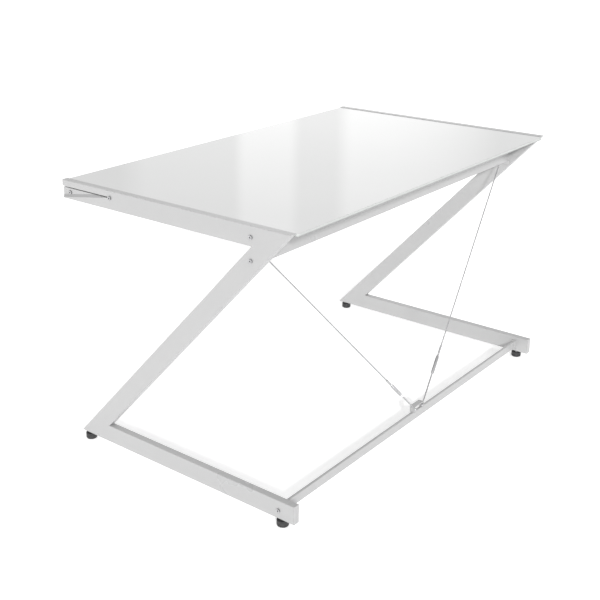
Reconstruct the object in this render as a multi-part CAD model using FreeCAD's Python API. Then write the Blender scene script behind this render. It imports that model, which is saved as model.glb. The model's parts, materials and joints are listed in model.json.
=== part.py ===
import FreeCAD
import Part
import math
import os

Vector = FreeCAD.Vector

# Driving dimensions, in millimetres. X runs along the table, Y from the seated side to the
# braced side, Z up from the floor. Side profile heights and depths are from the seated edge.
table_length = 1290.0
table_height = 750.0
foot_height = 20.0
tube_width = 20.0
tube_depth = 50.0
tube_wall = 2.0
top_depth = 755.0
base_end = 773.0
heel_start = 18.5
knee_inner = 641.2
heel_inner = 132.3
centre_shift = -386.5

notch_length = 190.0
notch_low = 702.0
notch_top = 733.0
notch_recess = 2.2
sill_rise = 8.0
wedge_gap = 1.5
wedge_slot = 3.5

glass_thickness = 8.0
glass_under = 740.0
glass_start = 0.0
glass_end = 757.0
glass_side_gap = 1.0
pad_radius = 10.0

front_bar_y = 28.0
front_bar_size = 28.0
knee_beam_y = 640.0
knee_beam_thick = 25.0
knee_beam_low = 656.0
knee_beam_high = 736.5
low_bar_y = 725.0
low_bar_z = 42.6
low_bar_thick = 8.0
low_bar_tall = 25.0
low_bar_wall = 1.5
end_plate = 4.0

bridge_half = 26.0
bridge_thick = 3.0
bridge_start = 718.0
bridge_end = 734.0
bridge_top = 75.1

cable_top = (589.0, 640.0, 657.5)
cable_low = (24.5, 730.5, 69.5)
cable_radius = 1.75
rod_radius = 2.0
thread_radius = 2.5
sleeve_radius = 4.6
sleeve_bore = 2.55
sleeve_start = 677.5
sleeve_end = 728.5

bolt_radius = 3.0
bolt_hole = 3.2
head_radius = 5.25
head_height = 3.3
socket_across = 4.0
socket_depth = 2.0

foot_places = (("front", 45.0), ("back", 731.5))
foot_radius = 15.5
pad_top = 17.0
stud_radius = 4.0
stud_bore = 4.05
stud_low = 4.1
stud_high = 40.0
collar_across = 13.0
collar_low = 17.1
collar_high = 18.6
insert_radius = 6.9
insert_top = 38.0

outer_face = table_length / 2.0
inner_face = outer_face - tube_width
bar_half = inner_face - end_plate


def save(shape, node):
    if not shape.isValid():
        raise ValueError("shape not valid: " + node)
    shape.exportStep("parts/" + node + ".step")


def save_sides(shape, node):
    """The right-hand piece and its mirror image on the left."""
    save(shape, node + "_right")
    save(flip(shape), node + "_left")


def flip(shape):
    return shape.mirror(Vector(0, 0, 0), Vector(1, 0, 0))


def group(solids):
    return Part.makeCompound(solids)


def prism(profile, x_low, x_high):
    """A side profile of depth and height pairs, carried along X."""
    points = [Vector(x_low, y + centre_shift, z) for y, z in profile]
    face = Part.Face(Part.makePolygon(points + [points[0]]))
    return face.extrude(Vector(x_high - x_low, 0, 0))


def block(x_low, x_high, y_low, y_high, z_low, z_high):
    corner = Vector(x_low, y_low + centre_shift, z_low)
    return Part.makeBox(x_high - x_low, y_high - y_low, z_high - z_low, corner)


def rod_x(radius, x_low, x_high, y, z):
    """A round rod along X."""
    start = Vector(x_low, y + centre_shift, z)
    return Part.makeCylinder(radius, x_high - x_low, start, Vector(1, 0, 0))


def rod_z(radius, x, y, z_low, z_high):
    """A round rod along Z."""
    return Part.makeCylinder(radius, z_high - z_low, Vector(x, y + centre_shift, z_low))


def hexagon(across, centre, direction, length):
    """A six-sided bar with the stated distance across its flats."""
    radius = across / math.sqrt(3.0)
    points = []
    for step in range(7):
        angle = math.radians(60.0 * step)
        points.append(Vector(radius * math.cos(angle), radius * math.sin(angle), 0))
    bar = Part.Face(Part.makePolygon(points)).extrude(Vector(0, 0, length))
    bar.Placement = FreeCAD.Placement(centre, FreeCAD.Rotation(Vector(0, 0, 1), direction))
    return bar


def bolt_hole_cut(places):
    return [rod_x(bolt_hole, inner_face - 10, outer_face + 10, y, z) for y, z in places]


# The five bolts of a side frame: depth and height of each.
notch_bolt = (28.0, 719.0)
apex_bolt = (179.0, 731.0)
knee_bolts = ((640.0, 722.5), (640.0, 665.5))
low_bolt = (low_bar_y, low_bar_z)


def hollow(profile, x_low, x_high):
    return prism(profile, x_low + tube_wall, x_high - tube_wall)


def make_top_rail():
    """The tube under each long edge, mitred at the knee and notched at the seated end."""
    low = table_height - tube_depth
    outline = [(0, low), (knee_inner, low), (top_depth, table_height), (0, table_height)]
    rail = prism(outline, inner_face, outer_face)
    inside_low = low + tube_wall
    inside_high = table_height - tube_wall
    inside = [(-5, inside_low), (top_depth + 5, inside_low), (top_depth + 5, inside_high), (-5, inside_high)]
    rail = rail.cut(hollow(inside, inner_face, outer_face))
    notch = [(-1, notch_low), (0, notch_low), (notch_length, notch_top), (-1, notch_top)]
    rail = rail.cut(prism(notch, outer_face - tube_wall - 1, outer_face + 1))
    rail = rail.cut(block(inner_face - 1, outer_face + 1, -1, wedge_gap, low - 1, notch_top))
    for hole in bolt_hole_cut([notch_bolt, apex_bolt, knee_bolts[0]]):
        rail = rail.cut(hole)
    return rail


def make_leg():
    """The slanting tube from the knee down to the heel."""
    heel = (heel_start, foot_height)
    heel_top = (heel_inner, foot_height + tube_depth)
    knee = (top_depth, table_height)
    knee_low = (knee_inner, table_height - tube_depth)
    leg = prism([heel, heel_top, knee, knee_low], inner_face, outer_face)
    run = knee_low[0] - heel[0]
    rise = knee_low[1] - heel[1]
    length = math.hypot(run, rise)
    along = (run / length, rise / length)
    across = (rise / length, -run / length)
    width = (heel_top[0] - heel[0]) * across[0] + (heel_top[1] - heel[1]) * across[1]
    corners = []
    for step, offset in ((-60, tube_wall), (-60, width - tube_wall),
                         (length + 160, width - tube_wall), (length + 160, tube_wall)):
        y = heel[0] + along[0] * step + across[0] * offset
        z = heel[1] + along[1] * step + across[1] * offset
        corners.append((y, z))
    leg = leg.cut(hollow(corners, inner_face, outer_face))
    for hole in bolt_hole_cut([knee_bolts[1]]):
        leg = leg.cut(hole)
    return leg


def make_base_rail():
    """The tube on the floor, mitred at the heel, with a hole over each foot."""
    high = foot_height + tube_depth
    outline = [(heel_start, foot_height), (base_end - tube_wall, foot_height),
               (base_end - tube_wall, high), (heel_inner, high)]
    rail = prism(outline, inner_face, outer_face)
    inside_low = foot_height + tube_wall
    inside_high = high - tube_wall
    inside = [(-5, inside_low), (base_end + 5, inside_low), (base_end + 5, inside_high), (-5, inside_high)]
    rail = rail.cut(hollow(inside, inner_face, outer_face))
    for hole in bolt_hole_cut([low_bolt]):
        rail = rail.cut(hole)
    middle = outer_face - tube_width / 2.0
    for name, y in foot_places:
        rail = rail.cut(rod_z(insert_radius + 0.05, middle, y, foot_height - 1, foot_height + 3))
    return rail


def make_base_cap():
    """The push-in cap in the open end of the base rail."""
    high = foot_height + tube_depth
    plate = block(inner_face, outer_face, base_end - tube_wall, base_end, foot_height, high)
    edges = [edge for edge in plate.Edges if on_plane(edge, base_end + centre_shift)]
    plate = plate.makeFillet(1.2, edges)
    gap = tube_wall + 0.1
    plug = block(inner_face + gap, outer_face - gap, base_end - tube_wall - 14, base_end - tube_wall,
                 foot_height + gap, high - gap)
    return plate.fuse(plug).removeSplitter()


def on_plane(edge, y):
    return all(abs(vertex.Point.y - y) < 1e-6 for vertex in edge.Vertexes)


def notch_line(y):
    return notch_low + (notch_top - notch_low) * y / notch_length


def make_end_wedge():
    """The sunk wedge in the rail's notch, with its sloping sill."""
    seat = outer_face - notch_recess
    back = inner_face + tube_wall + 0.1
    last = notch_length - 2.0
    floor = table_height - tube_depth + tube_wall + 0.1
    body = block(back, seat, wedge_gap, last, floor, notch_top - wedge_slot)
    body = body.cut(block(outer_face - tube_wall - 0.1, outer_face, -5, notch_length + 5, floor - 5, notch_top))
    sill = []
    for x, rise in ((seat, 0.0), (outer_face, 0.0), (seat, sill_rise)):
        start = Vector(x, wedge_gap + centre_shift, notch_line(wedge_gap) + rise)
        end = Vector(x, last + centre_shift, notch_line(last) + rise)
        sill.append((start, end))
    triangle = Part.Face(Part.makePolygon([pair[0] for pair in sill] + [sill[0][0]]))
    strip = triangle.extrude(sill[0][1].sub(sill[0][0]))
    strip = strip.common(block(seat - 1, outer_face + 1, 0, notch_length, floor, notch_top - wedge_slot))
    wedge = body.fuse(strip).removeSplitter()
    for hole in bolt_hole_cut([notch_bolt, apex_bolt]):
        wedge = wedge.cut(hole)
    seat_cut = rod_x(head_radius + 0.3, seat, outer_face + 2, notch_bolt[0], notch_bolt[1])
    wedge = wedge.cut(seat_cut)
    apex_cut = rod_x(head_radius + 0.3, outer_face - 0.02, outer_face + 2, apex_bolt[0], apex_bolt[1])
    return wedge.cut(apex_cut)


def make_front_bar():
    """The square cross tube under the seated edge of the glass."""
    half = front_bar_size / 2.0
    z = notch_bolt[1]
    bar = block(-bar_half, bar_half, front_bar_y - half, front_bar_y + half, z - half, z + half)
    inside = half - tube_wall
    return bar.cut(block(-bar_half - 1, bar_half + 1, front_bar_y - inside, front_bar_y + inside,
                         z - inside, z + inside))


def make_front_plate():
    z = notch_bolt[1]
    plate = block(bar_half, inner_face, front_bar_y - 16, front_bar_y + 16, z - 15, z + 14)
    return plate.cut(rod_x(bolt_radius + 0.05, bar_half - 1, inner_face + 1, notch_bolt[0], z))


def make_knee_beam():
    """The deep cross tube between the knees, with two slanting holes for the brace cables."""
    half = knee_beam_thick / 2.0
    beam = block(-bar_half, bar_half, knee_beam_y - half, knee_beam_y + half, knee_beam_low, knee_beam_high)
    inside = half - tube_wall
    beam = beam.cut(block(-bar_half - 1, bar_half + 1, knee_beam_y - inside, knee_beam_y + inside,
                          knee_beam_low + tube_wall, knee_beam_high - tube_wall))
    drill = along_cable(-8.0, 8.0, cable_radius + 0.35)
    beam = beam.cut(drill)
    return beam.cut(flip(drill))


def make_knee_plate():
    plate = block(bar_half, inner_face, knee_beam_y - 16, knee_beam_y + 16, 645, knee_beam_high)
    for y, z in knee_bolts:
        plate = plate.cut(rod_x(bolt_radius + 0.05, bar_half - 1, inner_face + 1, y, z))
    return plate


def make_low_bar():
    """The flat cross tube near the floor."""
    half = low_bar_thick / 2.0
    tall = low_bar_tall / 2.0
    bar = block(-bar_half, bar_half, low_bar_y - half, low_bar_y + half, low_bar_z - tall, low_bar_z + tall)
    half = half - low_bar_wall
    tall = tall - low_bar_wall
    return bar.cut(block(-bar_half - 1, bar_half + 1, low_bar_y - half, low_bar_y + half,
                         low_bar_z - tall, low_bar_z + tall))


def make_low_flange():
    flange = block(bar_half, inner_face, low_bar_y - 8, low_bar_y + 8, low_bar_z - 16, low_bar_z + 16)
    return flange.cut(rod_x(bolt_radius + 0.05, bar_half - 1, inner_face + 1, low_bar_y, low_bar_z))


def make_bridge():
    """The bent strap on the low bar that holds both cable ends."""
    foot = low_bar_z + low_bar_tall / 2.0
    strap = block(-bridge_half, bridge_half, bridge_start, bridge_end, foot, bridge_top)
    corners = []
    for edge in strap.Edges:
        ends = [vertex.Point for vertex in edge.Vertexes]
        if all(abs(point.z - bridge_top) < 1e-6 for point in ends) and abs(ends[0].x - ends[1].x) < 1e-6:
            corners.append(edge)
    strap = strap.makeFillet(5.0, corners)
    inside = bridge_half - bridge_thick
    strap = strap.cut(block(-inside, inside, bridge_start - 1, bridge_end + 1, 40, bridge_top - bridge_thick))
    drill = along_cable(800.0, 840.0, rod_radius + 0.35)
    strap = strap.cut(drill)
    return strap.cut(flip(drill))


def make_glass():
    half = inner_face - glass_side_gap
    glass = block(-half, half, glass_start, glass_end, glass_under, glass_under + glass_thickness)
    upright = []
    for edge in glass.Edges:
        ends = [vertex.Point for vertex in edge.Vertexes]
        if abs(ends[0].z - ends[1].z) > 1:
            upright.append(edge)
    glass = glass.makeFillet(4.0, upright)
    rims = []
    for edge in glass.Edges:
        ends = [vertex.Point for vertex in edge.Vertexes]
        if abs(ends[0].z - ends[1].z) < 1e-6:
            rims.append(edge)
    return glass.makeChamfer(0.8, rims)


def make_glass_pads():
    pads = []
    for x in (-560.0, 0.0, 560.0):
        top = glass_under
        bar_top = notch_bolt[1] + front_bar_size / 2.0
        pads.append(rod_z(8.0, x, front_bar_y, bar_top, top))
        pads.append(rod_z(pad_radius, x, knee_beam_y, knee_beam_high, top))
    return group(pads)


def make_bolt(y, z, seat, tip):
    """A round-headed socket bolt along X, its head outward."""
    shank = rod_x(bolt_radius, tip, seat, y, z)
    head = rod_x(head_radius, seat, seat + head_height, y, z)
    rim = [edge for edge in head.Edges if abs(edge.BoundBox.XMin - seat - head_height) < 1e-6
           and edge.BoundBox.XLength < 1e-6]
    head = head.makeFillet(1.8, rim)
    start = Vector(seat + head_height - socket_depth, y + centre_shift, z)
    head = head.cut(hexagon(socket_across, start, Vector(1, 0, 0), socket_depth + 1))
    return head.fuse(shank).removeSplitter()


def make_bolts():
    seat = outer_face
    bolts = [make_bolt(notch_bolt[0], notch_bolt[1], seat - notch_recess, bar_half - 3)]
    bolts.append(make_bolt(apex_bolt[0], apex_bolt[1], seat, inner_face - 8))
    for y, z in knee_bolts:
        bolts.append(make_bolt(y, z, seat, bar_half - 4))
    bolts.append(make_bolt(low_bolt[0], low_bolt[1], seat, bar_half))
    return group(bolts)


def make_wedge_nut():
    start = Vector(inner_face - 5, apex_bolt[0] + centre_shift, apex_bolt[1])
    nut = hexagon(8.0, start, Vector(1, 0, 0), 5)
    return nut.cut(rod_x(bolt_radius + 0.02, inner_face - 9, inner_face + 1, apex_bolt[0], apex_bolt[1]))


def cable_frame():
    start = Vector(cable_top[0], cable_top[1] + centre_shift, cable_top[2])
    end = Vector(cable_low[0], cable_low[1] + centre_shift, cable_low[2])
    run = end.sub(start)
    length = run.Length
    return start, Vector(run.x / length, run.y / length, run.z / length)


def cable_point(distance):
    start, along = cable_frame()
    return start.add(Vector(along.x * distance, along.y * distance, along.z * distance))


def along_cable(low, high, radius):
    """A round rod on the brace's axis, between two distances from the knee beam."""
    return Part.makeCylinder(radius, high - low, cable_point(low), cable_frame()[1])


def make_cable():
    """The right-hand wire rope with the ball that stops it inside the knee beam."""
    ball = Part.makeSphere(5.0, cable_point(-9.9))
    return along_cable(-9.9, 640.0, cable_radius).fuse(ball).removeSplitter()


def make_upper_stud():
    """The sleeve pressed on the rope's end, with the thread that enters the turnbuckle."""
    swage = along_cable(640.0, 666.0, thread_radius + 0.3)
    thread = along_cable(666.0, 696.0, thread_radius)
    return swage.fuse(thread).removeSplitter()


def make_lock_nut():
    along = cable_frame()[1]
    nut = hexagon(7.6, cable_point(sleeve_start - 4.4), along, 4.0)
    return nut.cut(along_cable(660.0, 690.0, thread_radius + 0.02))


def make_sleeve():
    """The round turnbuckle sleeve, bored through and cross-drilled at its middle."""
    sleeve = along_cable(sleeve_start, sleeve_end, sleeve_radius)
    rims = [edge for edge in sleeve.Edges if len(edge.Vertexes) == 1]
    sleeve = sleeve.makeChamfer(0.8, rims)
    sleeve = sleeve.cut(along_cable(sleeve_start - 1, sleeve_end + 1, sleeve_bore))
    middle = cable_point((sleeve_start + sleeve_end) / 2.0)
    across = cable_frame()[1].cross(Vector(0, 0, 1))
    across.normalize()
    start = middle.sub(Vector(across.x * 10, across.y * 10, across.z * 10))
    return sleeve.cut(Part.makeCylinder(1.5, 20, start, across))


def make_lower_rod():
    """The rod below the turnbuckle, ending in a ball inside the bridge."""
    thread = along_cable(710.0, 742.0, thread_radius)
    rod = along_cable(742.0, 829.0, rod_radius)
    ball = Part.makeSphere(4.2, cable_point(829.0))
    return thread.fuse(rod).fuse(ball).removeSplitter()


def make_foot_pad(x, y):
    """The moulded pad on the floor, with a socket for the stud."""
    pad = rod_z(foot_radius, x, y, 0, pad_top)
    low_rim = [edge for edge in pad.Edges if edge.BoundBox.ZMax < 1e-6]
    pad = pad.makeFillet(3.5, low_rim)
    high_rim = [edge for edge in pad.Edges if edge.BoundBox.ZMin > pad_top - 1e-6]
    pad = pad.makeFillet(1.2, high_rim)
    return pad.cut(rod_z(stud_bore, x, y, stud_low - 0.1, pad_top + 1))


def make_foot_stud(x, y):
    """The screw of a foot, with the thin hexagon that turns it."""
    stud = rod_z(stud_radius, x, y, stud_low, stud_high)
    collar = hexagon(collar_across, Vector(x, y + centre_shift, collar_low), Vector(0, 0, 1),
                     collar_high - collar_low)
    return stud.fuse(collar).removeSplitter()


def make_foot_insert(x, y):
    insert = rod_z(insert_radius, x, y, foot_height, insert_top)
    return insert.cut(rod_z(stud_bore, x, y, foot_height - 1, insert_top + 1))


def main():
    os.makedirs("parts", exist_ok=True)
    save_sides(make_top_rail(), "top_rail")
    save_sides(make_leg(), "leg")
    save_sides(make_base_rail(), "base_rail")
    save_sides(make_base_cap(), "base_cap")
    save_sides(make_end_wedge(), "end_wedge")
    save(make_front_bar(), "front_bar")
    save_sides(make_front_plate(), "front_plate")
    save(make_knee_beam(), "knee_beam")
    save_sides(make_knee_plate(), "knee_plate")
    save(make_low_bar(), "low_bar")
    save_sides(make_low_flange(), "low_flange")
    save(make_bridge(), "cable_bridge")
    save(make_glass(), "glass_top")
    save(make_glass_pads(), "glass_pads")
    save_sides(make_bolts(), "bolts")
    save_sides(make_wedge_nut(), "wedge_nut")
    save_sides(make_cable(), "brace_cable")
    save_sides(make_upper_stud(), "upper_stud")
    save_sides(make_lock_nut(), "lock_nut")
    save_sides(make_sleeve(), "turnbuckle")
    save_sides(make_lower_rod(), "lower_rod")
    inserts = []
    middle = outer_face - tube_width / 2.0
    for side, x in (("right", middle), ("left", -middle)):
        for place, y in foot_places:
            name = "_" + side + "_" + place
            save(make_foot_pad(x, y), "foot_pad" + name)
            save(make_foot_stud(x, y), "foot_stud" + name)
            inserts.append(make_foot_insert(x, y))
    save(group(inserts), "foot_inserts")


main()
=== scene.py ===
import bmesh
import bpy
import json
import math
import numpy as np
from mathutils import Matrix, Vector


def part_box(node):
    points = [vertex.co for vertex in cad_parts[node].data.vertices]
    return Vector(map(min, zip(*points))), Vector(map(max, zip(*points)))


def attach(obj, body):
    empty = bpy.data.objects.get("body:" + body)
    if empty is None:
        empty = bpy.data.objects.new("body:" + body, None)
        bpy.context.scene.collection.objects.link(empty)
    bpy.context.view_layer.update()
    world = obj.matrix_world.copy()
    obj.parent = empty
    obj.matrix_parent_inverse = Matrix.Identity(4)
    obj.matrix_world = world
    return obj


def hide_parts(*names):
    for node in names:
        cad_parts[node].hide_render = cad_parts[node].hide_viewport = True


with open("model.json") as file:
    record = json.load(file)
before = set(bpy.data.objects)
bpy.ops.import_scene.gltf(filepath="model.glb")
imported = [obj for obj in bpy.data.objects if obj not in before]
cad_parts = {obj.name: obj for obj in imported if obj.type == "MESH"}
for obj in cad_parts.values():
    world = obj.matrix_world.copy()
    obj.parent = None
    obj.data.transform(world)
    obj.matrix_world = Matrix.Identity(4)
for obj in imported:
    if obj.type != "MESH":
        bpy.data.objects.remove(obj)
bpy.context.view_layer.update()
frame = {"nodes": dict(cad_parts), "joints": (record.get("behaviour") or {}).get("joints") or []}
joints = {joint["name"]: joint for joint in frame["joints"]}
sides = {"right": 1.0, "left": -1.0}
depthShift = -0.3865  # depths below are measured from the seated edge of the top rails
print("frame loaded,", len(frame["nodes"]), "nodes")


# small mesh tools
def gridFaces(rows, cols, closeRows=False, closeCols=False, first=0):
    # quads between neighbouring rows and columns of a grid of points, wrapped where asked
    i = np.arange(rows if closeRows else rows - 1)
    j = np.arange(cols if closeCols else cols - 1)
    i, j = np.meshgrid(i, j, indexing="ij")
    nextI, nextJ = (i + 1) % rows, (j + 1) % cols
    corners = [i * cols + j, nextI * cols + j, nextI * cols + nextJ, i * cols + nextJ]
    return (np.stack(corners, axis=-1).reshape(-1, 4) + first).tolist()


def joinParts(parts):
    # several (points, faces) shells as one list of points and one of faces
    points, faces, count = [], [], 0
    for partPoints, partFaces in parts:
        points.append(partPoints)
        faces += [[corner + count for corner in face] for face in partFaces]
        count += len(partPoints)
    return np.concatenate(points), faces


def outward(mesh):
    # faces turned outwards, after doubled points are merged
    shell = bmesh.new()
    shell.from_mesh(mesh)
    bmesh.ops.remove_doubles(shell, verts=shell.verts, dist=1e-6)
    bmesh.ops.recalc_face_normals(shell, faces=shell.faces)
    shell.to_mesh(mesh)
    shell.free()


def makePiece(name, points, faces, body, slotName, material, replaced=(), sharp=35.0, even=False):
    mesh = bpy.data.meshes.new(name)
    mesh.from_pydata(np.asarray(points, float).tolist(), [], faces)
    outward(mesh)
    return finishPiece(name, mesh, body, material, replaced, sharp, even)


def finishPiece(name, mesh, body, material, replaced=(), sharp=35.0, even=False):
    piece = bpy.data.objects.new(name, mesh)
    bpy.context.scene.collection.objects.link(piece)
    mesh.materials.clear()
    for item in material if isinstance(material, (list, tuple)) else [material]:
        mesh.materials.append(item)
    mesh.polygons.foreach_set("use_smooth", np.ones(len(mesh.polygons), bool))
    mesh.set_sharp_from_angle(angle=math.radians(sharp))
    if even:
        weighted = piece.modifiers.new("evenNormals", "WEIGHTED_NORMAL")
        weighted.keep_sharp = True
        weighted.weight = 100
    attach(piece, body)
    if replaced:
        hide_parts(*replaced)
    return piece


def roundedSection(width, height, radius, steps):
    # a rectangle whose corners are quarter circles: each corner's centre plus radius times the unit
    # circle
    angles = np.linspace(0, math.pi / 2, steps + 1)
    points = []
    for quarter, (sx, sy) in enumerate(((1, 1), (-1, 1), (-1, -1), (1, -1))):
        turn = angles + quarter * math.pi / 2
        centre = np.array([sx * (width / 2 - radius), sy * (height / 2 - radius)])
        points.append(centre + radius * np.stack([np.cos(turn), np.sin(turn)], axis=1))
    return np.concatenate(points)


def axisFrame(direction):
    # two unit vectors square to the direction and to each other
    d = np.array(direction, float)
    d = d / np.linalg.norm(d)
    side = np.cross(d, [0.0, 1.0, 0.0] if abs(d[1]) < 0.9 else [1.0, 0.0, 0.0])
    side = side / np.linalg.norm(side)
    return d, side, np.cross(d, side)


def turned(origin, direction, profile, steps=48, radiusAt=None):
    # a profile of (distance, radius) pairs turned about an axis; radiusAt may vary the radius with angle
    d, a, b = axisFrame(direction)
    along = np.array([pair[0] for pair in profile])[:, None]
    radius = np.array([pair[1] for pair in profile])[:, None]
    angle = np.linspace(0, 2 * math.pi, steps, endpoint=False)[None, :]
    if radiusAt is not None:
        radius = radiusAt(radius, angle, along)
    radius = radius + 0 * angle
    points = (np.array(origin) + along[..., None] * d
              + (radius * np.cos(angle))[..., None] * a + (radius * np.sin(angle))[..., None] * b)
    faces = gridFaces(len(profile), steps, closeCols=True)
    rows = len(profile)
    if profile[0][1] > 1e-7:
        faces.append(list(range(steps))[::-1])
    if profile[-1][1] > 1e-7:
        faces.append([(rows - 1) * steps + k for k in range(steps)])
    return points.reshape(-1, 3), faces


def threadProfile(start, end, radius, pitch, share=6):
    # evenly spaced rings of one radius, share of them to each pitch
    count = max(2, int(round((end - start) / pitch * share)) + 1)
    return [(distance, radius) for distance in np.linspace(start, end, count)]


def threadRadius(pitch, depth):
    # radius less a sawtooth that climbs one pitch per turn
    def radiusAt(radius, angle, along):
        phase = (along / pitch - angle / (2 * math.pi)) % 1.0
        return radius - depth * np.abs(2 * phase - 1)
    return radiusAt


def hexRadius(radius, angle, along):
    # distance to the side of a hexagon at each angle, for a flat-to-centre distance of radius
    return radius / np.cos((angle % (math.pi / 3)) - math.pi / 6)


def softened(name, nodes, body, material, width, segments=3, angle=30.0):
    # copies of CAD nodes with their points merged, their flat faces joined and their edges rounded
    shell = bmesh.new()
    for node in nodes:
        shell.from_mesh(frame["nodes"][node].data)
    bmesh.ops.remove_doubles(shell, verts=shell.verts, dist=2e-6)
    bmesh.ops.dissolve_limit(shell, angle_limit=math.radians(0.6), verts=shell.verts, edges=shell.edges)
    mesh = bpy.data.meshes.new(name)
    shell.to_mesh(mesh)
    shell.free()
    piece = finishPiece(name, mesh, body, material, nodes, angle)
    bevel = piece.modifiers.new("roundedEdges", "BEVEL")
    bevel.width = width
    bevel.segments = segments
    bevel.limit_method = "ANGLE"
    bevel.angle_limit = math.radians(angle)
    bevel.harden_normals = True
    return piece


# material tools
def newMaterial(name):
    material = bpy.data.materials.new(name)
    material.use_nodes = True
    nodes = material.node_tree.nodes
    return material, nodes, material.node_tree.links, nodes["Principled BSDF"]


def noise(nodes, links, vector, scale, detail=3.0, roughness=0.55):
    node = nodes.new("ShaderNodeTexNoise")
    node.inputs["Scale"].default_value = scale
    node.inputs["Detail"].default_value = detail
    node.inputs["Roughness"].default_value = roughness
    links.new(vector, node.inputs["Vector"])
    return node.outputs["Fac"]


def ranged(nodes, links, value, low, high, fromLow=0.0, fromHigh=1.0):
    node = nodes.new("ShaderNodeMapRange")
    node.inputs["From Min"].default_value = fromLow
    node.inputs["From Max"].default_value = fromHigh
    node.inputs["To Min"].default_value = low
    node.inputs["To Max"].default_value = high
    links.new(value, node.inputs["Value"])
    return node.outputs["Result"]


def tinted(nodes, links, factor, first, second):
    node = nodes.new("ShaderNodeMix")
    node.data_type = "RGBA"
    node.inputs["A"].default_value = (*first, 1.0)
    node.inputs["B"].default_value = (*second, 1.0)
    links.new(factor, node.inputs["Factor"])
    return node.outputs["Result"]


def bumped(nodes, links, height, strength, distance):
    node = nodes.new("ShaderNodeBump")
    node.inputs["Strength"].default_value = strength
    node.inputs["Distance"].default_value = distance
    links.new(height, node.inputs["Height"])
    return node.outputs["Normal"]


def objectPoint(nodes, links, scale=None):
    coordinates = nodes.new("ShaderNodeTexCoord").outputs["Object"]
    if scale is None:
        return coordinates
    mapping = nodes.new("ShaderNodeMapping")
    mapping.inputs["Scale"].default_value = scale
    links.new(coordinates, mapping.inputs["Vector"])
    return mapping.outputs["Vector"]


# finishes
def silverPaint(name, settings):
    material, nodes, links, shader = newMaterial(name)
    point = objectPoint(nodes, links)
    cloud = noise(nodes, links, point, settings["cloudScale"], 3.0)
    flake = noise(nodes, links, point, settings["flakeScale"], 2.0)
    peel = noise(nodes, links, point, settings["peelScale"], 2.0)
    base = tinted(nodes, links, ranged(nodes, links, cloud, 0, 1, 0.3, 0.7), settings["shade"],
                  settings["colour"])
    fleck = nodes.new("ShaderNodeMix")
    fleck.data_type = "RGBA"
    fleck.blend_type = "OVERLAY"
    fleck.inputs["Factor"].default_value = settings["flakeShare"]
    links.new(base, fleck.inputs["A"])
    links.new(flake, fleck.inputs["B"])
    links.new(fleck.outputs["Result"], shader.inputs["Base Color"])
    shader.inputs["Metallic"].default_value = settings["metallic"]
    links.new(ranged(nodes, links, cloud, settings["gloss"][0], settings["gloss"][1], 0.25, 0.75),
              shader.inputs["Roughness"])
    normal = bumped(nodes, links, peel, settings["peelStrength"], 0.00012)
    links.new(normal, shader.inputs["Normal"])
    return material


paintSettings = {
    "colour": (0.468, 0.468, 0.468), "shade": (0.450, 0.450, 0.452), "metallic": 0.15,
    "gloss": (0.26, 0.34), "cloudScale": 7.0, "flakeScale": 5200.0, "flakeShare": 0.10,
    "peelScale": 850.0, "peelStrength": 0.12,
}
silver = silverPaint("silverPaint", paintSettings)
print("paint ready")


def wornPaint(name, settings):
    # the same paint with the seam and edge tints that the tubes carry as attributes
    material = silverPaint(name, settings)
    nodes, links = material.node_tree.nodes, material.node_tree.links
    shader = nodes["Principled BSDF"]
    colour = shader.inputs["Base Color"].links[0].from_socket
    seam = nodes.new("ShaderNodeAttribute")
    seam.attribute_name = "seam"
    grind = noise(nodes, links, objectPoint(nodes, links), 260.0, 4.0)
    amount = nodes.new("ShaderNodeMath")
    amount.operation = "MULTIPLY"
    links.new(seam.outputs["Fac"], amount.inputs[0])
    links.new(ranged(nodes, links, grind, 0.0, 0.35, 0.35, 0.75), amount.inputs[1])
    mix = nodes.new("ShaderNodeMix")
    mix.data_type = "RGBA"
    mix.inputs["B"].default_value = (*settings["seamColour"], 1.0)
    links.new(amount.outputs[0], mix.inputs["Factor"])
    links.new(colour, mix.inputs["A"])
    edge = nodes.new("ShaderNodeAttribute")
    edge.attribute_name = "edge"
    rub = noise(nodes, links, objectPoint(nodes, links), 45.0, 4.0)
    rubbed = nodes.new("ShaderNodeMath")
    rubbed.operation = "MULTIPLY"
    links.new(edge.outputs["Fac"], rubbed.inputs[0])
    links.new(ranged(nodes, links, rub, 0.0, 1.0, 0.52, 0.70), rubbed.inputs[1])
    edgeMix = nodes.new("ShaderNodeMix")
    edgeMix.data_type = "RGBA"
    edgeMix.inputs["B"].default_value = (*settings["edgeColour"], 1.0)
    links.new(rubbed.outputs[0], edgeMix.inputs["Factor"])
    links.new(mix.outputs["Result"], edgeMix.inputs["A"])
    links.new(edgeMix.outputs["Result"], shader.inputs["Base Color"])
    return material


# a darker copy of the silver paint for the wedges' sloped sill faces: painted shade
sillPaintedShade = silverPaint("sillPaintedShade", dict(paintSettings, colour=(0.36, 0.36, 0.362),
                                          shade=(0.335, 0.335, 0.337)))
tubePaintSettings = dict(paintSettings, seamColour=(0.42, 0.42, 0.425), edgeColour=(0.375, 0.375, 0.38))
tubePaint = wornPaint("tubePaint", tubePaintSettings)


def moulded(name, settings):
    material, nodes, links, shader = newMaterial(name)
    point = objectPoint(nodes, links)
    cloud = noise(nodes, links, point, settings["cloudScale"], 4.0)
    grain = noise(nodes, links, point, settings["grainScale"], 2.0)
    links.new(tinted(nodes, links, ranged(nodes, links, cloud, 0, 1, 0.35, 0.7), settings["colour"],
                     settings["worn"]),
              shader.inputs["Base Color"])
    links.new(ranged(nodes, links, grain, settings["gloss"][0], settings["gloss"][1], 0.3, 0.7),
              shader.inputs["Roughness"])
    links.new(bumped(nodes, links, grain, settings["grainStrength"], 0.0002), shader.inputs["Normal"])
    return material


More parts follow.
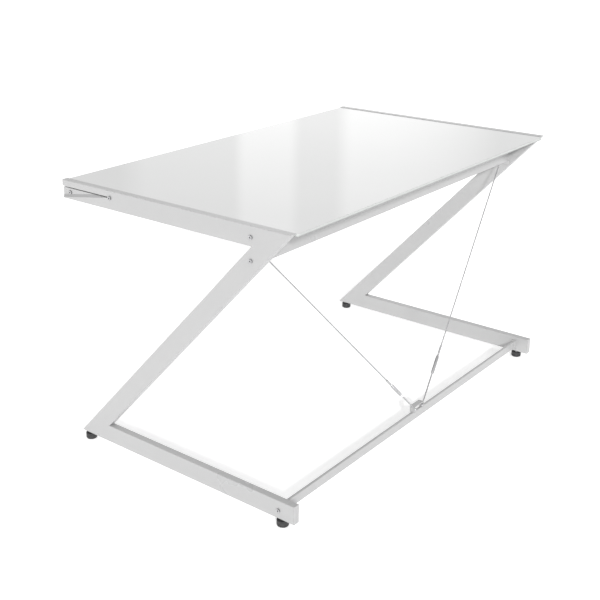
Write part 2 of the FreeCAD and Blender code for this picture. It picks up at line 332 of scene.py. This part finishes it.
footPlastic = moulded("footPlastic", {"colour": (0.018, 0.018, 0.019), "worn": (0.036, 0.036, 0.037),
                                      "gloss": (0.38, 0.55), "cloudScale": 120.0, "grainScale": 1800.0,
                                      "grainStrength": 0.25})
capPlastic = moulded("capPlastic", {"colour": (0.430, 0.430, 0.432), "worn": (0.465, 0.465, 0.467),
                                    "gloss": (0.36, 0.48), "cloudScale": 60.0, "grainScale": 1500.0,
                                    "grainStrength": 0.12})
padRubber = moulded("padRubber", {"colour": (0.42, 0.43, 0.43), "worn": (0.50, 0.51, 0.51),
                                  "gloss": (0.30, 0.45), "cloudScale": 150.0, "grainScale": 1200.0,
                                  "grainStrength": 0.10})


def steel(name, settings):
    material, nodes, links, shader = newMaterial(name)
    fine = objectPoint(nodes, links, settings["stretch"])
    lines = noise(nodes, links, fine, settings["lineScale"], 4.0, 0.65)
    cloud = noise(nodes, links, objectPoint(nodes, links), settings["cloudScale"], 3.0)
    links.new(tinted(nodes, links, ranged(nodes, links, cloud, 0, 1, 0.3, 0.7), settings["shade"],
                     settings["colour"]),
              shader.inputs["Base Color"])
    shader.inputs["Metallic"].default_value = settings["metallic"]
    links.new(ranged(nodes, links, lines, settings["gloss"][0], settings["gloss"][1], 0.3, 0.7),
              shader.inputs["Roughness"])
    links.new(bumped(nodes, links, lines, settings["lineStrength"], 0.00008), shader.inputs["Normal"])
    return material


boltSteel = steel("boltSteel", {"colour": (0.60, 0.60, 0.61), "shade": (0.46, 0.46, 0.47),
                                "metallic": 0.9,
                                "gloss": (0.22, 0.38), "lineScale": 900.0, "cloudScale": 300.0,
                                "stretch": (0.15, 1.0, 1.0), "lineStrength": 0.25})
# a dark copy of the bolt steel for the head walls: painted shade
knurlShadeSteel = steel("knurlShadeSteel", {"colour": (0.22, 0.22, 0.225), "shade": (0.12, 0.12, 0.124),
                                  "metallic": 0.6,
                                  "gloss": (0.35, 0.55), "lineScale": 900.0, "cloudScale": 500.0,
                                  "stretch": (1.0, 1.0, 1.0), "lineStrength": 0.25})
turnedSteel = steel("turnedSteel", {"colour": (0.54, 0.54, 0.55), "shade": (0.44, 0.44, 0.45),
                                    "metallic": 0.85,
                                    "gloss": (0.24, 0.40), "lineScale": 1400.0, "cloudScale": 200.0,
                                    "stretch": (1.0, 1.0, 1.0), "lineStrength": 0.20})
ropeSteel = steel("ropeSteel", {"colour": (0.54, 0.54, 0.55), "shade": (0.40, 0.40, 0.41),
                                "metallic": 0.75,
                                "gloss": (0.30, 0.50), "lineScale": 2600.0, "cloudScale": 400.0,
                                "stretch": (1.0, 1.0, 1.0), "lineStrength": 0.35})


def glassFace(name, settings):
    material, nodes, links, shader = newMaterial(name)
    point = objectPoint(nodes, links)
    cloud = noise(nodes, links, point, settings["cloudScale"], 2.0)
    smudge = noise(nodes, links, point, settings["smudgeScale"], 5.0, 0.6)
    links.new(tinted(nodes, links, ranged(nodes, links, cloud, 0, 1, 0.3, 0.7), settings["shade"],
                     settings["colour"]),
              shader.inputs["Base Color"])
    links.new(ranged(nodes, links, smudge, settings["gloss"][0], settings["gloss"][1], 0.45, 0.75),
              shader.inputs["Roughness"])
    links.new(bumped(nodes, links, smudge, settings["waveStrength"], 0.0002), shader.inputs["Normal"])
    shader.inputs["IOR"].default_value = 1.5
    shader.inputs["Coat Weight"].default_value = settings["coat"]
    shader.inputs["Coat Roughness"].default_value = 0.02
    return material


glassTop = glassFace("glassTop", {"colour": (0.672, 0.674, 0.671), "shade": (0.660, 0.663, 0.661),
                                  "coat": 0.0,
                                  "gloss": (0.03, 0.09), "cloudScale": 2.5, "smudgeScale": 14.0,
                                  "waveStrength": 0.02})
glassEdge = glassFace("glassEdge", {"colour": (0.54, 0.546, 0.543), "shade": (0.50, 0.506, 0.503),
                                    "coat": 0.0,
                                    "gloss": (0.10, 0.20), "cloudScale": 30.0, "smudgeScale": 700.0,
                                    "waveStrength": 0.10})


def paintEdgeShade(material, node, depths):
    # painted shade: the edge of the sheet is painted darker downwards, standing in for the dark shade
    # just under the glass edge
    nodes, links = material.node_tree.nodes, material.node_tree.links
    low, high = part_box(node)
    split = nodes.new("ShaderNodeSeparateXYZ")
    links.new(nodes.new("ShaderNodeTexCoord").outputs["Object"], split.inputs["Vector"])
    share = ranged(nodes, links, split.outputs["Z"], 0.0, 1.0, low.z, high.z)
    ramp = nodes.new("ShaderNodeValToRGB")
    stops = ramp.color_ramp.elements
    while len(stops) < len(depths):
        stops.new(1.0)
    for stop, (position, level) in zip(stops, depths):
        stop.position = position
        stop.color = (level, level * 1.015, level * 1.005, 1.0)
    links.new(share, ramp.inputs["Fac"])
    shader = nodes["Principled BSDF"]
    mix = nodes.new("ShaderNodeMix")
    mix.data_type = "RGBA"
    mix.blend_type = "MULTIPLY"
    mix.inputs["Factor"].default_value = 1.0
    links.new(shader.inputs["Base Color"].links[0].from_socket, mix.inputs["A"])
    links.new(ramp.outputs["Color"], mix.inputs["B"])
    links.new(mix.outputs["Result"], shader.inputs["Base Color"])


# painted shade on the glass edge, darkest at its bottom
paintEdgeShade(glassEdge, "glass_top", ((0.0, 0.36), (0.20, 0.62), (0.50, 0.92), (0.86, 1.00)))
# painted shade: the underside is a mid grey sheet that throws less light onto the knee beam below,
# deepening its shadow
glassBackShadeGrey = glassFace("glassBackShadeGrey", {"colour": (0.30, 0.30, 0.297), "shade": (0.27, 0.27, 0.267),
                                    "coat": 0.0,
                                    "gloss": (0.35, 0.50), "cloudScale": 5.0, "smudgeScale": 420.0,
                                    "waveStrength": 0.20})
print("finishes ready")


# the two side frames, each one swept tube with mitred knee and heel
sideFrame = {
    "cornerRadius": 0.0018, "cornerSteps": 5, "seamReach": 0.007,
    "tubeHeight": 0.050, "tubeWidth": 0.020, "hollowDepth": 0.186, "wall": 0.002,
    "kneeInner": 0.6412, "kneeTip": 0.755, "heelTip": 0.0185,
    "notchLength": 0.190, "notchLow": 0.702, "notchTop": 0.733, "notchDepth": 0.0024, "endGap": 0.0015,
}


def bakeCut(piece, cutters):
    # the piece's mesh less each closed cutter, with the cutters thrown away
    for cutter in cutters:
        cut = piece.modifiers.new("cut", "BOOLEAN")
        cut.operation = "DIFFERENCE"
        cut.solver = "EXACT"
        cut.object = cutter
    bpy.context.view_layer.update()
    baked = bpy.data.meshes.new_from_object(piece.evaluated_get(bpy.context.evaluated_depsgraph_get()))
    for cutter in cutters:
        bpy.data.objects.remove(cutter)
    bpy.data.objects.remove(piece)
    return baked


def looseMesh(name, points, faces):
    mesh = bpy.data.meshes.new(name)
    mesh.from_pydata(np.asarray(points, float).tolist(), [], faces)
    outward(mesh)
    piece = bpy.data.objects.new(name, mesh)
    bpy.context.scene.collection.objects.link(piece)
    return piece


def prismAlongX(profile, low, high):
    # a closed side profile of (depth, height) pairs, carried straight along X
    profile = np.array(profile)
    points = np.array([[x, y + depthShift, z] for x in (low, high) for y, z in profile])
    count = len(profile)
    faces = gridFaces(2, count, closeCols=True)
    faces += [list(range(count))[::-1], [count + k for k in range(count)]]
    return points, faces


def makeSideFrame(side, sign):
    # one rounded tube section carried along straight runs, with its rings sheared to the mitre planes;
    # the notch, the cut-back end and the hollow are cut out of it
    s = sideFrame
    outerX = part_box("top_rail_" + side)[1 if sign > 0 else 0].x
    middleX = outerX - sign * s["tubeWidth"] / 2
    section = roundedSection(s["tubeWidth"], s["tubeHeight"], s["cornerRadius"], s["cornerSteps"])
    across, up = section[:, 0], section[:, 1]
    slope = (s["kneeTip"] - s["kneeInner"]) / s["tubeHeight"]
    kneeMiddle = (s["kneeTip"] + s["kneeInner"]) / 2
    heelMiddle = s["heelTip"] + slope * s["tubeHeight"] / 2
    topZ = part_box("top_rail_" + side)[1].z - s["tubeHeight"] / 2
    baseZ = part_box("base_rail_" + side)[0].z + s["tubeHeight"] / 2
    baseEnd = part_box("base_rail_" + side)[1].y - depthShift

    def ring(depth, height):
        return np.stack([middleX + across, depth + 0 * across + depthShift, height + up], axis=1)

    # key rings: the open seated end, the knee and heel mitre planes, the base rail's end
    keys = [ring(0.0, topZ), ring(kneeMiddle + slope * up, topZ), ring(heelMiddle + slope * up, baseZ),
            ring(baseEnd, baseZ)]
    rings, seams = [keys[0]], [0.0]
    for number in range(3):
        start, end = keys[number], keys[number + 1]
        length = np.linalg.norm(end.mean(0) - start.mean(0))
        near, far = 0.003 / length, s["seamReach"] / length
        shares = [near, far, 1 - far, 1 - near, 1.0]
        strength = [0.5 if number > 0 else 0.0, 0.0, 0.0, 0.5 if number < 2 else 0.0,
                    1.0 if number < 2 else 0.0]
        for share, seam in zip(shares, strength):
            rings.append(start + (end - start) * share)
            seams.append(seam)
    rings = np.array(rings)
    count = len(section)
    faces = gridFaces(len(rings), count, closeCols=True)
    faces += [list(range(count))[::-1], [(len(rings) - 1) * count + k for k in range(count)]]
    name = "sideFrame" + side.capitalize()
    piece = looseMesh(name, rings.reshape(-1, 3), faces)
    seamValues = np.repeat(np.array(seams), count)
    onArc = np.ones(count)
    onArc[::s["cornerSteps"] + 1] = 0.0
    onArc[s["cornerSteps"]::s["cornerSteps"] + 1] = 0.0
    edgeValues = np.tile(onArc, len(rings))
    for label, values in (("seam", seamValues), ("edge", edgeValues)):
        attribute = piece.data.attributes.new(label, "FLOAT", "POINT")
        attribute.data.foreach_set("value", values.astype(np.float32))
    notch = [(-0.01, s["notchLow"] - 0.01 * (s["notchTop"] - s["notchLow"]) / s["notchLength"]),
             (s["notchLength"], s["notchTop"]), (-0.01, s["notchTop"])]
    low, high = sorted([outerX - sign * s["notchDepth"], outerX + sign * 0.01])
    cutters = [looseMesh("notchCutter", *prismAlongX(notch, low, high))]
    stub = [(-0.01, s["notchTop"]), (-0.01, topZ - 0.03), (s["endGap"], topZ - 0.03),
            (s["endGap"], s["notchTop"])]
    cutters.append(looseMesh("endCutter", *prismAlongX(stub, middleX - 0.02, middleX + 0.02)))
    inside = roundedSection(s["tubeWidth"] - 2 * s["wall"], s["tubeHeight"] - 2 * s["wall"], 0.001, 3)
    hollow = np.array([[middleX + a, depth + depthShift, topZ + b]
                       for depth in (-0.01, s["hollowDepth"]) for a, b in inside])
    hollowFaces = gridFaces(2, len(inside), closeCols=True)
    hollowFaces += [list(range(len(inside)))[::-1], [len(inside) + k for k in range(len(inside))]]
    cutters.append(looseMesh("hollowCutter", hollow, hollowFaces))
    mesh = bakeCut(piece, cutters)
    mesh.name = name
    return finishPiece(name, mesh, "frame", tubePaint,
                       ["top_rail_" + side, "leg_" + side, "base_rail_" + side], even=True)


for side, sign in sides.items():
    makeSideFrame(side, sign)
print("side frames swept")


# wedges, caps and end plates: CAD shapes with softened edges
softEdges = {"wedge": 0.0005, "cap": 0.0007, "plate": 0.0006, "bridge": 0.0007, "nut": 0.0003}

for side in sides:
    title = side.capitalize()
    wedge = softened("endWedge" + title, ["end_wedge_" + side], "frame",
                     [silver, sillPaintedShade],
                     softEdges["wedge"])
    # faces slanting outwards and upwards on the sill take the darker copy of the paint: painted shade
    normals = np.zeros(len(wedge.data.polygons) * 3)
    wedge.data.polygons.foreach_get("normal", normals)
    slant = normals.reshape(-1, 3) * [sides[side], 1, 1]
    onSill = (slant[:, 0] > 0.5) & (slant[:, 2] > 0.15) & (slant[:, 2] < 0.95)
    wedge.data.polygons.foreach_set("material_index", onSill.astype(np.int32))
    softened("baseCap" + title, ["base_cap_" + side], "frame", capPlastic, softEdges["cap"])
    for node, label in (("front_plate_", "frontPlate"), ("knee_plate_", "kneePlate"),
                        ("low_flange_", "lowFlange")):
        softened(label + title, [node + side], "frame", silver, softEdges["plate"])
    softened("lockNut" + title, ["lock_nut_" + side], "frame", turnedSteel,
             softEdges["nut"])
    softened("wedgeNut" + title, ["wedge_nut_" + side], "frame", boltSteel,
             softEdges["nut"])
softened("cableBridge", ["cable_bridge"], "frame", silver, softEdges["bridge"])
print("small parts softened")


# cross members
crossTubes = {
    "front_bar": {"name": "frontBar", "radius": 0.0016}, "knee_beam": {"name": "kneeBeam",
                                                                       "radius": 0.0025},
    "low_bar": {"name": "lowBar", "radius": 0.0012},
}


def makeCrossTube(node, settings):
    # a rounded rectangle carried along X between the ends of the CAD tube
    low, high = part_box(node)
    section = roundedSection(high.y - low.y, high.z - low.z, settings["radius"], 5)
    middle = np.array([(low.y + high.y) / 2, (low.z + high.z) / 2])
    xs = np.linspace(low.x, high.x, 9)
    points = np.array([[x, middle[0] + a, middle[1] + b] for x in xs for a, b in section])
    count = len(section)
    faces = gridFaces(len(xs), count, closeCols=True)
    faces += [list(range(count))[::-1], [(len(xs) - 1) * count + k for k in range(count)]]
    return makePiece(settings["name"], points, faces, "frame", "frame_paint", silver, [node], even=True)


for node, settings in crossTubes.items():
    makeCrossTube(node, settings)
print("cross tubes made")


# glass and its pads
glassSheet = {"cornerRadius": 0.004, "cornerSteps": 8, "arris": 0.0012, "arrisSteps": 5}


def makeGlass():
    # the rounded outline of the sheet carried down a flat edge with two quarter-round arrises
    s = glassSheet
    low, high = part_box("glass_top")
    arc = np.linspace(0, math.pi / 2, s["arrisSteps"] + 1)
    topArc = [(s["arris"] * (1 - math.sin(a)), high.z - s["arris"] * (1 - math.cos(a))) for a in arc]
    lowArc = [(inset, low.z + high.z - z) for inset, z in topArc[::-1]]
    loops = []
    for inset, z in topArc + lowArc:
        outline = roundedSection(high.x - low.x - 2 * inset, high.y - low.y - 2 * inset,
                                 s["cornerRadius"] - inset, s["cornerSteps"])
        centre = np.array([(low.x + high.x) / 2, (low.y + high.y) / 2])
        loops.append(np.column_stack([outline + centre, np.full(len(outline), z)]))
    loops = np.array(loops)
    rows, count = loops.shape[0], loops.shape[1]
    faces = gridFaces(rows, count, closeCols=True)
    faces += [list(range(count)), [(rows - 1) * count + k for k in range(count)][::-1]]
    piece = makePiece("glassSheet", loops.reshape(-1, 3), faces, "frame", "white_glass",
                      [glassTop, glassEdge, glassBackShadeGrey], ["glass_top"], even=True)
    normals = np.zeros(len(piece.data.polygons) * 3)
    piece.data.polygons.foreach_get("normal", normals)
    up = normals.reshape(-1, 3)[:, 2]
    index = np.where(up > 0.999, 0, np.where(up < -0.999, 2, 1))
    piece.data.polygons.foreach_set("material_index", index.astype(np.int32))
    return piece


makeGlass()


def makeGlassPads():
    # low domed discs: radius swells by a quarter circle at each rim
    low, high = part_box("glass_pads")
    barTop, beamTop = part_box("front_bar")[1].z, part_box("knee_beam")[1].z
    rows = {"front": ((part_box("front_bar")[0].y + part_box("front_bar")[1].y) / 2, barTop, 0.008),
            "knee": ((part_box("knee_beam")[0].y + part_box("knee_beam")[1].y) / 2, beamTop, 0.010)}
    parts = []
    for depth, seat, radius in rows.values():
        tall = high.z - seat
        profile = [(0, 0), (0, radius - 0.0006), (0.0004, radius - 0.0001), (tall * 0.5, radius),
                   (tall - 0.0005, radius - 0.0003), (tall, radius - 0.0012), (tall, 0)]
        for x in (-0.56, 0.0, 0.56):
            parts.append(turned((x, depth, seat), (0, 0, 1), profile, 40))
    points, faces = joinParts(parts)
    return makePiece("glassPads", points, faces, "frame", "clear_pad", padRubber, ["glass_pads"])


makeGlassPads()
print("glass laid")


# brace cables: rope, studs, turnbuckles and lower rods, all on the turnbuckle's axis
brace = {
    "ropeStart": -0.7129, "ropeEnd": -0.063, "swageEnd": -0.037, "threadEnd": -0.007,
    "lowThread": 0.007, "rodStart": 0.039, "rodEnd": 0.126, "stopRadius": 0.005, "ballRadius": 0.0042,
    "threadRadius": 0.0025, "rodRadius": 0.002, "pitch": 0.0008, "threadDepth": 0.00045,
}
rope = {"radius": 0.00175, "lay": 0.026, "step": 0.0014, "strandSides": 8, "strandShare": 1 / 3}


def makeStrand(origin, axis, start, end, offset, radius, phase):
    # a round strand whose centre winds about the axis once per lay, with its ring square to its own run
    d, a, b = axis
    along = np.arange(start, end, rope["step"])
    along = np.append(along, end)
    turn = 2 * math.pi * along / rope["lay"] + phase
    outwardRay = np.cos(turn)[:, None] * a + np.sin(turn)[:, None] * b
    sideRay = -np.sin(turn)[:, None] * a + np.cos(turn)[:, None] * b
    centre = np.array(origin) + along[:, None] * d + offset * outwardRay
    run = d + offset * 2 * math.pi / rope["lay"] * sideRay
    run = run / np.linalg.norm(run, axis=1)[:, None]
    across = np.cross(run, outwardRay)
    angle = np.linspace(0, 2 * math.pi, rope["strandSides"], endpoint=False)
    points = (centre[:, None, :] + radius * np.cos(angle)[None, :, None] * outwardRay[:, None, :]
              + radius * np.sin(angle)[None, :, None] * across[:, None, :])
    rows, cols = points.shape[0], points.shape[1]
    faces = gridFaces(rows, cols, closeCols=True)
    faces += [list(range(cols))[::-1], [(rows - 1) * cols + k for k in range(cols)]]
    return points.reshape(-1, 3), faces


def ballProfile(centre, radius, steps=14):
    # a half circle: distance less radius times cosine, and radius times sine
    angle = np.linspace(0, math.pi, steps)
    return [(centre - radius * math.cos(a), max(radius * math.sin(a), 0.0)) for a in angle]


def makeBrace(side):
    # six strands laid round a seventh, then profiles turned about the same line, ending in a ball
    joint = joints["turnbuckle_%s_turn" % side]
    origin, direction = joint["pos_m"], joint["axis"]
    axis = axisFrame(direction)
    title = side.capitalize()
    b = brace
    strandRadius = rope["radius"] * rope["strandShare"]
    strands = [makeStrand(origin, axis, b["ropeStart"], b["ropeEnd"], 0.0, strandRadius, 0.0)]
    for number in range(6):
        strands.append(makeStrand(origin, axis, b["ropeStart"], b["ropeEnd"],
                                  rope["radius"] - strandRadius,
                                  strandRadius, number * math.pi / 3))
    strands.append(turned(origin, direction, ballProfile(b["ropeStart"], b["stopRadius"]), 28))
    makePiece("wireRope" + title, *joinParts(strands), "frame", "cable_steel", ropeSteel,
              ["brace_cable_" + side], sharp=60)

    # swaged sleeve with six pressed bands, then the thread
    bands = []
    start, end = b["ropeEnd"], b["swageEnd"]
    for number in range(6):
        low = start + (end - start) * (number + 0.10) / 6
        high = start + (end - start) * (number + 0.90) / 6
        bands += [(low, 0.00262), (low + 0.0004, 0.0028), (high - 0.0004, 0.0028), (high, 0.00262)]
    sleeve = [(start, 0.0), (start, 0.0024)] + bands + [(end, 0.0025), (end, 0.0)]
    stud = turned(origin, direction, sleeve, 32)
    thread = turned(origin, direction, threadProfile(end, b["threadEnd"], b["threadRadius"], b["pitch"]),
                    32,
                    threadRadius(b["pitch"], b["threadDepth"]))
    makePiece("upperStud" + title, *joinParts([stud, thread]), "frame", "fitting_steel", turnedSteel,
              ["upper_stud_" + side], sharp=50)

    lowThread = turned(origin, direction, threadProfile(b["lowThread"], b["rodStart"], b["threadRadius"],
                                                        b["pitch"]),
                       32, threadRadius(b["pitch"], b["threadDepth"]))
    rod = turned(origin, direction, [(b["rodStart"], 0.0), (b["rodStart"], 0.0017),
                                     (b["rodStart"] + 0.0006, b["rodRadius"]),
                                     (b["rodEnd"] - 0.0045, b["rodRadius"]),
                                     (b["rodEnd"] - 0.0030, 0.0024),
                                     (b["rodEnd"], 0.0024), (b["rodEnd"], 0.0)], 28)
    ball = turned(origin, direction, ballProfile(b["rodEnd"], b["ballRadius"]), 28)
    makePiece("lowerRod" + title, *joinParts([lowThread, rod, ball]), "frame", "fitting_steel",
              turnedSteel,
              ["lower_rod_" + side], sharp=50)
    softened("turnbuckle" + title, ["turnbuckle_" + side], "turnbuckle_" + side,
             turnedSteel, 0.0003)


for side in sides:
    makeBrace(side)
print("braces strung")


# bolts: knurled heads with a hexagon socket, on threaded shanks
bolts = {
    "headRadius": 0.00525, "headHeight": 0.0033, "shank": 0.003, "pitch": 0.001, "threadDepth": 0.0006,
    "socket": 0.002, "socketDepth": 0.002, "teeth": 30, "knurl": 0.00022, "steps": 120,
    "threadRun": 0.014,
    "rail": 0.645,
    # depth, height, distance of the seat in from the rail's face, and of the tip from the middle of the
    # table
    "spots": ((0.028, 0.719, 0.0022, 0.618), (0.179, 0.731, 0.0, 0.617), (0.640, 0.7225, 0.0, 0.617),
              (0.640, 0.6655, 0.0, 0.617), (0.725, 0.0426, 0.0, 0.621)),
}


def makeBolts(side, sign):
    # each head is a profile turned about the bolt's line; knurls ripple its wall and the socket is
    # six-sided
    b = bolts
    parts = []
    for depth, height, sunk, tip in b["spots"]:
        seat = b["rail"] - sunk
        top = seat + b["headHeight"]
        r = b["headRadius"]
        origin = (0.0, depth + depthShift, height)
        axis = (sign, 0, 0)

        def headRadius(radius, angle, along):
            wave = np.abs(((angle * b["teeth"] / (2 * math.pi)) % 1.0) * 2 - 1)
            ripple = np.where((along > seat + 0.0003) & (along < top - 0.0004) & (radius > r - 0.0003),
                              wave, 0.0)
            six = 1 / np.cos((angle % (math.pi / 3)) - math.pi / 6)
            inSocket = (radius <= b["socket"] + 1e-6) & (radius > 1e-7)
            return np.where(inSocket, radius * six, radius - b["knurl"] * ripple)

        profile = [(seat, 0.0), (seat, r - 0.0003), (seat + 0.00025, r - 0.00005), (seat + 0.00045, r),
                   (top - 0.0005, r), (top - 0.00035, r - 0.00008), (top - 0.00015, r - 0.0003),
                   (top, r - 0.0008),
                   (top, b["socket"] + 0.0007), (top - 0.0003, b["socket"]),
                   (top - b["socketDepth"], b["socket"]), (top - b["socketDepth"] - 0.0004, 0.0)]
        parts.append(turned(origin, axis, profile, b["steps"], headRadius))
        run = tip + b["threadRun"]
        parts.append(turned(origin, axis, [(run, b["shank"]), (seat, b["shank"])], 24))
        parts.append(turned(origin, axis, threadProfile(tip, run, b["shank"], b["pitch"]), 24,
                            threadRadius(b["pitch"], b["threadDepth"])))
    points, faces = joinParts(parts)
    piece = makePiece("socketBolts" + side.capitalize(), points, faces, "frame", "bolt_steel",
                      [boltSteel, knurlShadeSteel], ["bolts_" + side], sharp=30)
    count = len(piece.data.polygons)
    normals = np.zeros(count * 3)
    piece.data.polygons.foreach_get("normal", normals)
    # faces square to the bolt's line, the head walls among them, take the dark steel: painted shade
    wall = np.abs(normals.reshape(-1, 3)[:, 0]) < 0.5
    piece.data.polygons.foreach_set("material_index", wall.astype(np.int32))
    return piece


for side, sign in sides.items():
    makeBolts(side, sign)
print("bolts fitted")


# feet
foot = {
    "radius": 0.0155, "height": 0.017, "rim": 0.0035, "shoulder": 0.0012, "socket": 0.00405,
    "studLow": 0.0041, "studHigh": 0.040, "studRadius": 0.004, "pitch": 0.00125, "threadDepth": 0.0007,
    "collarLow": 0.0171, "collarHigh": 0.0186, "collarFlat": 0.0065,
}


def makeFoot(side, place):
    # a puck turned from straight walls and quarter-round rims, on a threaded rod with a six-sided collar
    label = side + "_" + place
    title = side.capitalize() + place.capitalize()
    low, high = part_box("foot_pad_" + label)
    x, y = (low.x + high.x) / 2, (low.y + high.y) / 2
    f = foot
    arc = np.linspace(0, math.pi / 2, 9)
    profile = [(f["studLow"] - 0.0001, 0.0), (f["studLow"] - 0.0001, f["socket"]),
               (f["height"], f["socket"])]
    profile += [(f["height"] - f["shoulder"] * (1 - math.cos(a)),
                 f["radius"] - f["shoulder"] * (1 - math.sin(a)))
                for a in arc[::2]]
    middle = f["height"] * 0.55
    profile += [(middle + 0.0003, f["radius"]), (middle, f["radius"] - 0.00015),
                (middle - 0.0003, f["radius"])]
    profile += [(f["rim"] * (1 - math.sin(a)), f["radius"] - f["rim"] * (1 - math.cos(a))) for a in arc]
    profile += [(0.0, 0.009), (0.0006, 0.0085), (0.0006, 0.0)]
    points, faces = turned((x, y, 0.0), (0, 0, 1), profile, 64)
    makePiece("footPad" + title, points, faces, "foot_pad_" + label, "foot_black", footPlastic,
              ["foot_pad_" + label], sharp=40)
    rod = turned((x, y, 0), (0, 0, 1), threadProfile(f["studLow"], f["studHigh"], f["studRadius"],
                                                     f["pitch"]), 40,
                 threadRadius(f["pitch"], f["threadDepth"]))
    flat = f["collarFlat"]
    collar = turned((x, y, 0), (0, 0, 1), [(f["collarLow"], 0.0), (f["collarLow"], flat - 0.0006),
                                           (f["collarLow"] + 0.0003, flat),
                                           (f["collarHigh"] - 0.0003, flat),
                                           (f["collarHigh"], flat - 0.0006), (f["collarHigh"], 0.0)], 48,
                                           hexRadius)
    makePiece("footStud" + title, *joinParts([rod, collar]), "foot_stud_" + label, "fitting_steel",
              turnedSteel,
              ["foot_stud_" + label], sharp=50)


for side in sides:
    for place in ("front", "back"):
        makeFoot(side, place)
insertNode = frame["nodes"]["foot_inserts"]
insertNode.data.materials.clear()
insertNode.data.materials.append(turnedSteel)
print("feet made")


# floor, light and camera
studio = {
    "floorSize": 120.0, "floorColour": (0.935, 0.935, 0.935), "floorShade": (0.925, 0.925, 0.925),
    "floorGlow": 0.35, "skyStrength": 0.86, "skyTurn": -2.458, "skySpan": 0.35,
    "keyFrom": (0.68, 0.63, 0.40), "keyWidth": 0.08, "keyStrength": 2.40,
}
# soft boxes behind the table: share of the span, then brightness
softBoxes = ((0.0, 0.36), (0.03, 0.84), (0.165, 0.84), (0.20, 1.07), (0.235, 1.23), (0.27, 1.34),
             (0.31, 1.42), (0.37, 1.47),
             (0.39, 1.10), (0.44, 1.10), (0.455, 1.43), (0.52, 1.43), (0.535, 1.03), (0.66, 1.00),
             (0.70, 0.72),
             (0.85, 0.72), (0.97, 0.95), (1.0, 0.36))


def makeFloor():
    half = studio["floorSize"] / 2
    mesh = bpy.data.meshes.new("studioFloor")
    mesh.from_pydata([(-half, -half, 0), (half, -half, 0), (half, half, 0), (-half, half, 0)], [],
                     [(0, 1, 2, 3)])
    floor = bpy.data.objects.new("studioFloor", mesh)
    bpy.context.scene.collection.objects.link(floor)
    material, nodes, links, shader = newMaterial("paleFloor")
    cloud = noise(nodes, links, objectPoint(nodes, links), 1.5, 3.0)
    links.new(tinted(nodes, links, cloud, studio["floorShade"], studio["floorColour"]),
              shader.inputs["Base Color"])
    shader.inputs["Roughness"].default_value = 0.9
    shader.inputs["Specular IOR Level"].default_value = 0.1
    shader.inputs["Emission Color"].default_value = (1.0, 1.0, 1.0, 1.0)
    shader.inputs["Emission Strength"].default_value = studio["floorGlow"]
    mesh.materials.append(material)


def mathNode(nodes, links, operation, first, second=None):
    node = nodes.new("ShaderNodeMath")
    node.operation = operation
    for socket, value in zip(node.inputs, (first, second)):
        if isinstance(value, float):
            socket.default_value = value
        elif value is not None:
            links.new(value, socket)
    return node.outputs[0]


def makeSky():
    # an even white dome, with soft boxes standing low behind the table as steps of brightness round the
    # compass
    world = bpy.data.worlds.new("studioSky")
    world.use_nodes = True
    nodes, links = world.node_tree.nodes, world.node_tree.links
    background = nodes["Background"]
    direction = nodes.new("ShaderNodeSeparateXYZ")
    links.new(nodes.new("ShaderNodeTexCoord").outputs["Generated"], direction.inputs["Vector"])
    compass = mathNode(nodes, links, "ARCTAN2", direction.outputs["Y"], direction.outputs["X"])
    span = studio["skySpan"]
    share = ranged(nodes, links, compass, 0.0, 1.0, studio["skyTurn"] - span, studio["skyTurn"] + span)
    ramp = nodes.new("ShaderNodeValToRGB")
    stops = ramp.color_ramp.elements
    while len(stops) < len(softBoxes):
        stops.new(1.0)
    for stop, (position, level) in zip(stops, softBoxes):
        stop.position = position
        stop.color = (level * 0.5, level * 0.5, level * 0.5, 1.0)
    links.new(share, ramp.inputs["Fac"])
    low = ranged(nodes, links, direction.outputs["Z"], 1.25, 1.0, 0.20, 0.29)
    boxes = mathNode(nodes, links, "MULTIPLY", ramp.outputs["Color"], low)
    boxes = mathNode(nodes, links, "MULTIPLY", boxes, 2.0)
    fade = ranged(nodes, links, direction.outputs["Z"], 1.0, 0.0, 0.36, 0.60)
    mix = nodes.new("ShaderNodeMix")
    links.new(fade, mix.inputs["Factor"])
    mix.inputs["A"].default_value = 1.0
    links.new(boxes, mix.inputs["B"])
    level = mathNode(nodes, links, "MULTIPLY", mix.outputs["Result"], studio["skyStrength"])
    links.new(level, background.inputs["Strength"])
    background.inputs["Color"].default_value = (1.0, 1.0, 1.0, 1.0)
    bpy.context.scene.world = world


def makeKeyLight():
    data = bpy.data.lights.new("keyLight", "SUN")
    data.energy = studio["keyStrength"]
    data.angle = studio["keyWidth"]
    light = bpy.data.objects.new("keyLight", data)
    bpy.context.scene.collection.objects.link(light)
    light.rotation_euler = Vector(studio["keyFrom"]).to_track_quat("Z", "Y").to_euler()


makeFloor()
makeSky()
makeKeyLight()
bpy.context.scene.view_settings.view_transform = "Standard"

view = {"place": (2.34387, 1.65946, 1.44640), "yaw": -2.458, "down": 0.337,
        "lens": 61.71, "shift": (0.0697, -0.0706)}
cameraData = bpy.data.cameras.new("viewCamera")
cameraData.lens = view["lens"]
cameraData.sensor_width = 36.0
cameraData.shift_x, cameraData.shift_y = view["shift"]
cameraData.clip_end = 200.0
camera = bpy.data.objects.new("viewCamera", cameraData)
bpy.context.scene.collection.objects.link(camera)
camera.location = view["place"]
forward = Vector((math.cos(view["down"]) * math.cos(view["yaw"]),
                  math.cos(view["down"]) * math.sin(view["yaw"]),
                  -math.sin(view["down"])))
camera.rotation_euler = forward.to_track_quat("-Z", "Y").to_euler()
bpy.context.scene.camera = camera
print("studio ready")
